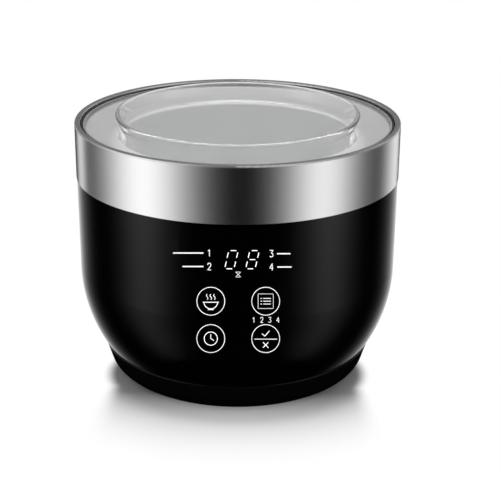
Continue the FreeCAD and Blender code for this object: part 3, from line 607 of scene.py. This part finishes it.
class Marks:
    """Collects strokes as thin print and turns them into one mesh."""

    def __init__(self):
        self.mesh = bmesh.new()

    def strip(self, left, right, closed=False):
        """A ribbon between two rows of picture points."""
        rows = [[self.mesh.verts.new(on_shell(*point)) for point in side] for side in (left, right)]
        count = len(left)
        for index in range(count if closed else count - 1):
            after = (index + 1) % count
            self.mesh.faces.new((rows[0][index], rows[0][after], rows[1][after], rows[1][index]))

    def line(self, points, width, closed=False):
        """A stroke of even width through picture points, cut into short steps."""
        points = [Vector(point) for point in points]
        ends = points + points[:1] if closed else points
        dense = []
        for start, end in zip(ends, ends[1:]):
            steps = max(1, math.ceil((end - start).length / STROKE_STEP))
            dense += [start.lerp(end, step / steps) for step in range(steps)]
        if not closed:
            dense.append(points[-1])
        left, right = [], []
        count = len(dense)
        for index, point in enumerate(dense):
            before = dense[index - 1] if closed or index else point
            after = dense[(index + 1) % count] if closed or index < count - 1 else point
            along = (after - before).normalized()
            aside = Vector((-along.y, along.x)) * width / 2
            left.append(point + aside)
            right.append(point - aside)
        self.strip(left, right, closed)

    def ring(self, centre, radius, width):
        self.line(arc(centre, radius, radius, 0, 360, RING_STEPS)[:-1], width, closed=True)

    def finish(self, name, material):
        bmesh.ops.recalc_face_normals(self.mesh, faces=self.mesh.faces)
        made = into_object(name, self.mesh)
        made.data.materials.append(material)
        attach(made, "base")


# The four keys, by the middle of their ring, and the strokes of their pictograms
KEY_LEFT, KEY_RIGHT = 210.8, 265.7
KEY_UPPER, KEY_LOWER = 301.2, 338.6
KEY_RADIUS = 13.95
KEY_LINE = 0.7
BOLD, MEDIUM, THIN, HAIRLINE = 0.85, 0.8, 0.7, 0.45

# Digits of the display, on a slant
DIGIT_LEFT, DIGIT_PITCH = 224.6, 21.1
DIGIT_TOP, DIGIT_MIDDLE, DIGIT_BOTTOM = 250.6, 259.6, 268.8
DIGIT_WIDTH = 9.4
DIGIT_INSET = 1.9
DIGIT_LINE = 0.85
SLANT = 0.23
SEGMENTS = {0: "abcdef", 8: "abcdefg"}

# Small numerals on a grid one unit wide and two units high, from the lower left
NUMERALS = {
    1: [(0.1, 1.5), (0.55, 2.0), (0.55, 0.0)],
    2: [(0.0, 1.5), (0.2, 1.95), (0.7, 2.0), (1.0, 1.5), (0.8, 1.0), (0.0, 0.0), (1.0, 0.0)],
    3: [(0.0, 2.0), (1.0, 2.0), (0.5, 1.2), (0.95, 0.9), (0.95, 0.3), (0.5, 0.0), (0.0, 0.25)],
    4: [(0.75, 0.0), (0.75, 2.0), (0.0, 0.65), (1.05, 0.65)],
}

# Programme numbers beside the display, each with a light bar at half its height
Programme = namedtuple("Programme", "number left middle bar_left bar_right")
PROGRAMMES = [
    Programme(number=1, left=207.6, middle=253.0, bar_left=173.0, bar_right=203.5),
    Programme(number=2, left=207.6, middle=266.5, bar_left=182.5, bar_right=203.5),
    Programme(number=3, left=269.7, middle=253.7, bar_left=277.2, bar_right=290.5),
    Programme(number=4, left=269.7, middle=267.0, bar_left=277.2, bar_right=291.5),
]
PROGRAMME_SIZE = 3.4
BAR_LINE = 1.3

# Hourglass under the display
HOURGLASS_LEFT, HOURGLASS_RIGHT = 235.6, 240.8
HOURGLASS_TOP, HOURGLASS_BOTTOM = 272.0, 277.0
HOURGLASS_LINE = 0.5

# Steaming bowl: its brim lies a little below the middle of the key
BRIM_DROP, BRIM_HALF = 1.0, 8.0
CUP_WIDE, CUP_HIGH, CUP_STEPS = 6.8, 6.6, 20
STAND_DROP, STAND_HALF = 7.4, 3.0
STEAM_PITCH, STEAM_LIFT, STEAM_SWAY = 3.6, 2.6, 0.8
STEAM_STEPS, STEAM_RISE = 10, 0.55

# List: a frame with three rows, each a short tick and a long bar, and numbers below the key
LIST_HALF_WIDTH, LIST_HALF_HEIGHT, LIST_PITCH = 7.6, 7.3, 2.8
ROW_LEFT, ROW_BREAK, ROW_RESUME, ROW_RIGHT = -5.2, -3.6, -2.4, 5.2
COUNT_LEFT, COUNT_PITCH, COUNT_DROP = -13.2, 8.0, 21.3
COUNT_SIZE, COUNT_LINE = 2.6, 0.65

# Clock
CLOCK_RADIUS = 6.6
MINUTE_HAND = Vector((0.0, -4.4))
HOUR_HAND = Vector((3.2, 1.9))

# Tick over a cross, with a divider between them a little below the middle of the key
DIVIDER_DROP, DIVIDER_HALF = 0.5, 11.4
TICK = [Vector((-3.6, -5.4)), Vector((-0.9, -2.9)), Vector((3.8, -8.4))]
CROSS_HALF, CROSS_TOP, CROSS_BOTTOM = 2.7, 3.2, 8.6


def draw_digit(marks, number, left):
    """One slanted seven-segment digit."""
    def at(x, y):
        return (left + x + (DIGIT_BOTTOM - y) * SLANT, y)

    inset = DIGIT_INSET
    high, middle, low = DIGIT_TOP, DIGIT_MIDDLE, DIGIT_BOTTOM
    places = {
        "a": (at(inset, high), at(DIGIT_WIDTH - inset, high)),
        "b": (at(DIGIT_WIDTH, high + inset), at(DIGIT_WIDTH, middle - inset)),
        "c": (at(DIGIT_WIDTH, middle + inset), at(DIGIT_WIDTH, low - inset)),
        "d": (at(inset, low), at(DIGIT_WIDTH - inset, low)),
        "e": (at(0, middle + inset), at(0, low - inset)),
        "f": (at(0, high + inset), at(0, middle - inset)),
        "g": (at(inset, middle), at(DIGIT_WIDTH - inset, middle)),
    }
    for segment in SEGMENTS[number]:
        marks.line(places[segment], DIGIT_LINE)


def draw_numeral(marks, number, left, bottom, size, width):
    marks.line([(left + x * size, bottom - y * size) for x, y in NUMERALS[number]], width)


def draw_level(marks, left, right, y, width):
    marks.line([(left, y), (right, y)], width)


def draw_display():
    marks = Marks()
    draw_digit(marks, 0, DIGIT_LEFT)
    draw_digit(marks, 8, DIGIT_LEFT + DIGIT_PITCH)
    marks.finish("display_digits", LIGHT)


def draw_indicators():
    """Programme numbers with a light bar each, beside the display, and an hourglass under it."""
    marks = Marks()
    for spot in PROGRAMMES:
        foot = spot.middle + PROGRAMME_SIZE
        draw_numeral(marks, spot.number, spot.left, foot, PROGRAMME_SIZE, MEDIUM)
        draw_level(marks, spot.bar_left, spot.bar_right, spot.middle, BAR_LINE)
    marks.line([
        (HOURGLASS_LEFT, HOURGLASS_TOP),
        (HOURGLASS_RIGHT, HOURGLASS_TOP),
        (HOURGLASS_LEFT, HOURGLASS_BOTTOM),
        (HOURGLASS_RIGHT, HOURGLASS_BOTTOM),
    ], HOURGLASS_LINE, closed=True)
    marks.finish("panel_indicators", GLOWING_INK)


def draw_keys():
    marks = Marks()
    for x in (KEY_LEFT, KEY_RIGHT):
        for y in (KEY_UPPER, KEY_LOWER):
            marks.ring((x, y), KEY_RADIUS, KEY_LINE)
    marks.finish("panel_key_rings", GLOWING_INK)


def draw_steaming_bowl(marks, x, y):
    brim = y + BRIM_DROP
    draw_level(marks, x - BRIM_HALF, x + BRIM_HALF, brim, BOLD)
    marks.line(arc((x, brim), CUP_WIDE, CUP_HIGH, 180, 360, CUP_STEPS), BOLD)
    draw_level(marks, x - STAND_HALF, x + STAND_HALF, brim + STAND_DROP, BOLD)
    for offset in (-STEAM_PITCH, 0.0, STEAM_PITCH):
        curl = []
        for step in range(STEAM_STEPS + 1):
            sway = STEAM_SWAY * math.sin(step / STEAM_STEPS * math.tau)
            curl.append((x + offset + sway, brim - STEAM_LIFT - step * STEAM_RISE))
        marks.line(curl, THIN)


def draw_list(marks, x, y):
    left, right = x - LIST_HALF_WIDTH, x + LIST_HALF_WIDTH
    top, bottom = y - LIST_HALF_HEIGHT, y + LIST_HALF_HEIGHT
    marks.line([(left, top), (right, top), (right, bottom), (left, bottom)], HAIRLINE, closed=True)
    for row in (y - LIST_PITCH, y, y + LIST_PITCH):
        draw_level(marks, x + ROW_LEFT, x + ROW_BREAK, row, THIN)
        draw_level(marks, x + ROW_RESUME, x + ROW_RIGHT, row, THIN)
    for place, number in enumerate(NUMERALS):
        count_left = x + COUNT_LEFT + place * COUNT_PITCH
        draw_numeral(marks, number, count_left, y + COUNT_DROP, COUNT_SIZE, COUNT_LINE)


def draw_clock(marks, x, y):
    middle = Vector((x, y))
    marks.ring(middle, CLOCK_RADIUS, MEDIUM)
    marks.line([middle + MINUTE_HAND, middle, middle + HOUR_HAND], MEDIUM)


def draw_tick_and_cross(marks, x, y):
    middle = Vector((x, y + DIVIDER_DROP))
    draw_level(marks, x - DIVIDER_HALF, x + DIVIDER_HALF, middle.y, THIN)
    marks.line([middle + point for point in TICK], BOLD)
    for side in (-CROSS_HALF, CROSS_HALF):
        marks.line([middle + Vector((side, CROSS_TOP)), middle + Vector((-side, CROSS_BOTTOM))], BOLD)


def draw_pictograms():
    marks = Marks()
    draw_steaming_bowl(marks, KEY_LEFT, KEY_UPPER)
    draw_list(marks, KEY_RIGHT, KEY_UPPER)
    draw_clock(marks, KEY_LEFT, KEY_LOWER)
    draw_tick_and_cross(marks, KEY_RIGHT, KEY_LOWER)
    marks.finish("panel_pictograms", GLOWING_INK)


draw_display()
draw_indicators()
draw_keys()
draw_pictograms()


# Stage: a white floor, soft lamps and two round walls that only mirror surfaces show

# The floor keeps its shadow in an oval under the object and in a wedge that runs forward from it
FLOOR_SIDE = 12.0
SHADOW_HALF_WIDTH = 77.6 * MM
SHADOW_MIDDLE = -24.0 * MM
SHADOW_FORE = 58.0 * MM
SHADOW_BACK = 60.0 * MM
SHADOW_NECK = -43.4 * MM
SHADOW_NECK_WIDTH = 73.2 * MM
SHADOW_SPREAD = 0.075
SHADOW_BLUR = 4.8 * MM
SHADOW_BLUR_GROWTH = 0.1
SHADOW_FRONT = 51.0 * MM
SHADOW_END = 139.5 * MM
AMBIENT = 0.25

# Round walls
WALL_RADIUS = 5.0
BAND_WALL_RADIUS = 4.8
WALL_TOP = 20.0
WALL_STEPS = 96
BAND_NODES = ["steel_band", "rim_ring"]

# A soft box by its centre and spread, in degrees from the camera's side, and its strength
SoftBox = namedtuple("SoftBox", "centre spread strength")
LOW_BOX = SoftBox(67.0, 13.0, 0.68)
REAR_BOX = SoftBox(165.0, 16.0, 0.88)
HIGH_LEFT_BOX = SoftBox(-75.0, 28.0, 2.0)
HIGH_RIGHT_BOX = SoftBox(63.0, 24.0, 1.7)
BAND_LEFT_BOX = SoftBox(-68.5, 22.3, 1.62)
BAND_RIGHT_BOX = SoftBox(63.0, 18.5, 1.36)

# A strip light by where it starts, is full, fades and ends, in degrees, and its strength
Strip = namedtuple("Strip", "start full fade end strength")
BAND_LEFT_STRIP = Strip(129.0, 138.0, 146.0, 152.0, 0.88)
BAND_RIGHT_STRIP = Strip(114.0, 147.0, 152.0, 156.5, 1.04)
BAND_FILL = Strip(60.0, 110.0, 150.0, 160.0, 0.06)

# Heights on the studio wall, over its radius: the low boxes fade downward in two slopes
LOW_FULL, LOW_START, LOW_END = -0.3, -0.5, -1.7
LOW_KNEE = 0.44
REAR_START, REAR_END, REAR_FALL = -0.5, -2.6, 4.0
BEHIND_BOTTOM, BEHIND_FULL, BEHIND_FADE, BEHIND_TOP = -1.8, -0.5, -0.24, -0.16
HIGH_START, HIGH_FULL = -0.15, 0.1
ABOVE_START, ABOVE_FULL = 0.15, 0.25

# Where the wall behind the object starts, in degrees, and the dim part above it
BEHIND_START, BEHIND_END = 156.0, 162.0
ABOVE_SIDE, ABOVE_BACK = 80.0, 175.0
ABOVE_LIGHT = 0.06

# Lamps by place and size in metres, and power in watts
Lamp = namedtuple("Lamp", "name place size power")
LAMPS = [
    Lamp("lamp_left", (-1.22, -0.45, 0.75), (0.5, 0.8), 1.4),
    Lamp("lamp_right", (1.22, -0.40, 0.75), (0.5, 0.8), 1.2),
    Lamp("lamp_top", (0.0, 0.22, 1.7), (1.1, 1.1), 37.0),
]
LAMP_AIM = Vector((0, 0, 0.08))


def stage_mesh(name, points, faces, material):
    data = bpy.data.meshes.new(name)
    data.from_pydata(points, [], faces)
    data.materials.append(material)
    made = bpy.data.objects.new(name, data)
    bpy.context.collection.objects.link(made)
    return made


def seen_directly(graph):
    """1 for rays from the camera, from mirror surfaces and through glass."""
    path = graph.add("ShaderNodeLightPath").outputs
    either = graph.math("MAXIMUM", path["Is Camera Ray"], path["Is Glossy Ray"])
    return graph.math("MAXIMUM", either, path["Is Transmission Ray"])


def shadow_depth(graph):
    """1 where the floor shows its shadow, falling to 0 where it is plain white."""
    x, y, _ = graph.axes()
    past = graph.math("SUBTRACT", y, SHADOW_MIDDLE)
    backward = graph.math("DIVIDE", past, SHADOW_BACK)
    forward = graph.math("DIVIDE", past, -SHADOW_FORE)
    along = graph.math("MAXIMUM", backward, forward)
    inside = graph.math("SUBTRACT", 1.0, graph.math("POWER", along, 2.0), clamp=True)
    oval = graph.times(graph.math("SQRT", inside), SHADOW_HALF_WIDTH)
    ahead = graph.math("MAXIMUM", graph.math("SUBTRACT", SHADOW_NECK, y), 0.0)
    wedge = graph.total(graph.times(ahead, SHADOW_SPREAD), SHADOW_NECK_WIDTH)
    wedge = graph.times(wedge, graph.math("GREATER_THAN", ahead, 0.0))
    edge = graph.math("MAXIMUM", oval, wedge)
    blur = graph.total(graph.times(ahead, SHADOW_BLUR_GROWTH), SHADOW_BLUR)
    beyond = graph.math("SUBTRACT", graph.math("ABSOLUTE", x), edge)
    side = graph.smooth(graph.math("DIVIDE", beyond, blur), -1.0, 1.0)
    front = graph.span(graph.times(y, -1.0), 0.0, 1.0, SHADOW_FRONT, SHADOW_END)
    depth = graph.times(graph.without(side), graph.without(front))
    return graph.times(depth, graph.smooth(edge, 0.0, SHADOW_NECK_WIDTH / 2))


def make_floor():
    """White floor that keeps the shadow near the object, and is clear from below."""
    graph = Graph("floor")
    graph.set(
        Base_Color=graph.blend(graph.noise(scale=60.0), grey(0.93), grey(0.95)),
        Roughness=0.8,
        Specular_IOR_Level=0.1,
    )
    plain = graph.times(graph.without(shadow_depth(graph)), seen_directly(graph))
    above = graph.choose(plain, graph.shader.outputs[0], graph.glow(1.0))
    under = graph.add("ShaderNodeNewGeometry").outputs["Backfacing"]
    graph.show(graph.choose(under, above, graph.clear(WHITE)))
    side = FLOOR_SIDE / 2
    corners = [(-side, -side, 0), (side, -side, 0), (side, side, 0), (-side, side, 0)]
    floor = stage_mesh("floor", corners, [(0, 1, 2, 3)], graph.material)
    floor.visible_glossy = False


def make_world():
    world = bpy.data.worlds.new("world")
    world.use_nodes = True
    bpy.context.scene.world = world
    graph = Graph("world", world.node_tree)
    background = world.node_tree.nodes["Background"]
    graph.put(background, "Color", WHITE)
    graph.put(background, "Strength", graph.span(seen_directly(graph), AMBIENT, 1.0))


def make_lamp(lamp):
    data = bpy.data.lights.new(lamp.name, "AREA")
    data.shape = "RECTANGLE"
    data.size, data.size_y = lamp.size
    data.energy = lamp.power
    made = bpy.data.objects.new(lamp.name, data)
    made.location = lamp.place
    made.rotation_euler = (LAMP_AIM - Vector(lamp.place)).to_track_quat("-Z", "Y").to_euler()
    made.visible_glossy = False
    bpy.context.collection.objects.link(made)


def soft_box(graph, turn, box):
    """Brightness of a soft box on a round wall, a bell curve over the turn in degrees."""
    off = graph.math("DIVIDE", graph.math("SUBTRACT", turn, box.centre), box.spread)
    fall = graph.math("EXPONENT", graph.times(graph.times(off, off), -0.5))
    return graph.times(fall, box.strength)


def light_strip(graph, turn, strip):
    """Brightness of a strip light on a round wall, over the turn in degrees."""
    rise = graph.smooth(turn, strip.start, strip.full)
    drop = graph.without(graph.smooth(turn, strip.fade, strip.end))
    return graph.times(graph.times(rise, drop), strip.strength)


def wall_place(graph):
    """Degrees round from the camera's side, positive to the right, and height over radius."""
    x, y, z = graph.axes()
    turn = graph.math("DEGREES", graph.math("ARCTAN2", x, graph.times(y, -1.0)))
    return turn, graph.math("DIVIDE", z, WALL_RADIUS)


def round_wall(name, radius, material, linking, closed):
    """A round wall that only mirror surfaces show, either all but the band and its ring or no others."""
    turns = [math.tau * step / WALL_STEPS for step in range(WALL_STEPS)]
    points = []
    for level in (-WALL_TOP, WALL_TOP):
        points += [(radius * math.sin(turn), -radius * math.cos(turn), level) for turn in turns]
    faces = []
    for step in range(WALL_STEPS):
        after = (step + 1) % WALL_STEPS
        faces.append((step, after, WALL_STEPS + after, WALL_STEPS + step))
    if closed:
        faces.append(tuple(range(WALL_STEPS)))
    wall = stage_mesh(name, points, faces, material)
    wall.visible_camera = False
    wall.visible_diffuse = False
    wall.visible_transmission = False
    wall.visible_volume_scatter = False
    wall.visible_shadow = False
    group = bpy.data.collections.new(name + "_linking")
    for node in BAND_NODES:
        group.objects.link(nodes[node])
    for member in group.collection_objects:
        member.light_linking.link_state = linking
    wall.light_linking.receiver_collection = group


def low_light(graph, aside, height):
    """The wall below the table's level: a soft box on each side and one behind, fading downward."""
    upper = graph.span(height, 0.0, 1.0 - LOW_KNEE, LOW_START, LOW_FULL)
    lower = graph.span(height, 0.0, LOW_KNEE, LOW_END, LOW_START)
    sides = graph.times(soft_box(graph, aside, LOW_BOX), graph.total(lower, upper))
    rear = soft_box(graph, graph.math("MINIMUM", aside, REAR_BOX.centre), REAR_BOX)
    down = graph.span(height, 0.0, 1.0, REAR_END, REAR_START)
    rear = graph.times(rear, graph.math("POWER", down, REAR_FALL))
    rising = graph.span(height, 0.0, 1.0, BEHIND_BOTTOM, BEHIND_FULL)
    falling = graph.span(height, 1.0, 0.0, BEHIND_FADE, BEHIND_TOP)
    behind = graph.span(aside, 0.0, 1.0, BEHIND_START, BEHIND_END)
    kept = graph.between(behind, 1.0, graph.times(rising, falling))
    return graph.total(sides, graph.times(rear, kept))


def make_studio_wall():
    """Soft boxes and dark stretches for all mirror surfaces but the steel band and its ring."""
    graph = Graph("studio_wall")
    turn, height = wall_place(graph)
    aside = graph.math("ABSOLUTE", turn)
    high = graph.total(soft_box(graph, turn, HIGH_LEFT_BOX), soft_box(graph, turn, HIGH_RIGHT_BOX))
    upward = graph.span(height, 0.0, 1.0, HIGH_START, HIGH_FULL)
    strength = graph.between(upward, low_light(graph, aside, height), high)
    dim = graph.span(height, 0.0, 1.0, ABOVE_START, ABOVE_FULL)
    above = graph.times(graph.smooth(aside, ABOVE_SIDE, ABOVE_BACK), dim)
    graph.show(graph.glow(graph.between(above, strength, ABOVE_LIGHT)))
    round_wall("studio_wall", WALL_RADIUS, graph.material, "EXCLUDE", True)


def make_band_wall():
    """The soft boxes and strip lights that the steel band and its ring mirror."""
    graph = Graph("band_wall")
    turn, _ = wall_place(graph)
    strength = graph.total(
        soft_box(graph, turn, BAND_LEFT_BOX),
        soft_box(graph, turn, BAND_RIGHT_BOX),
        light_strip(graph, graph.times(turn, -1.0), BAND_LEFT_STRIP),
        light_strip(graph, turn, BAND_RIGHT_STRIP),
        light_strip(graph, graph.math("ABSOLUTE", turn), BAND_FILL),
    )
    both = graph.add("ShaderNodeAddShader", {0: graph.glow(strength), 1: graph.clear(WHITE)})
    graph.show(both.outputs[0])
    round_wall("band_wall", BAND_WALL_RADIUS, graph.material, "INCLUDE", False)


make_floor()
make_world()
make_studio_wall()
make_band_wall()
for lamp in LAMPS:
    make_lamp(lamp)

bpy.context.scene.view_settings.view_transform = "Standard"
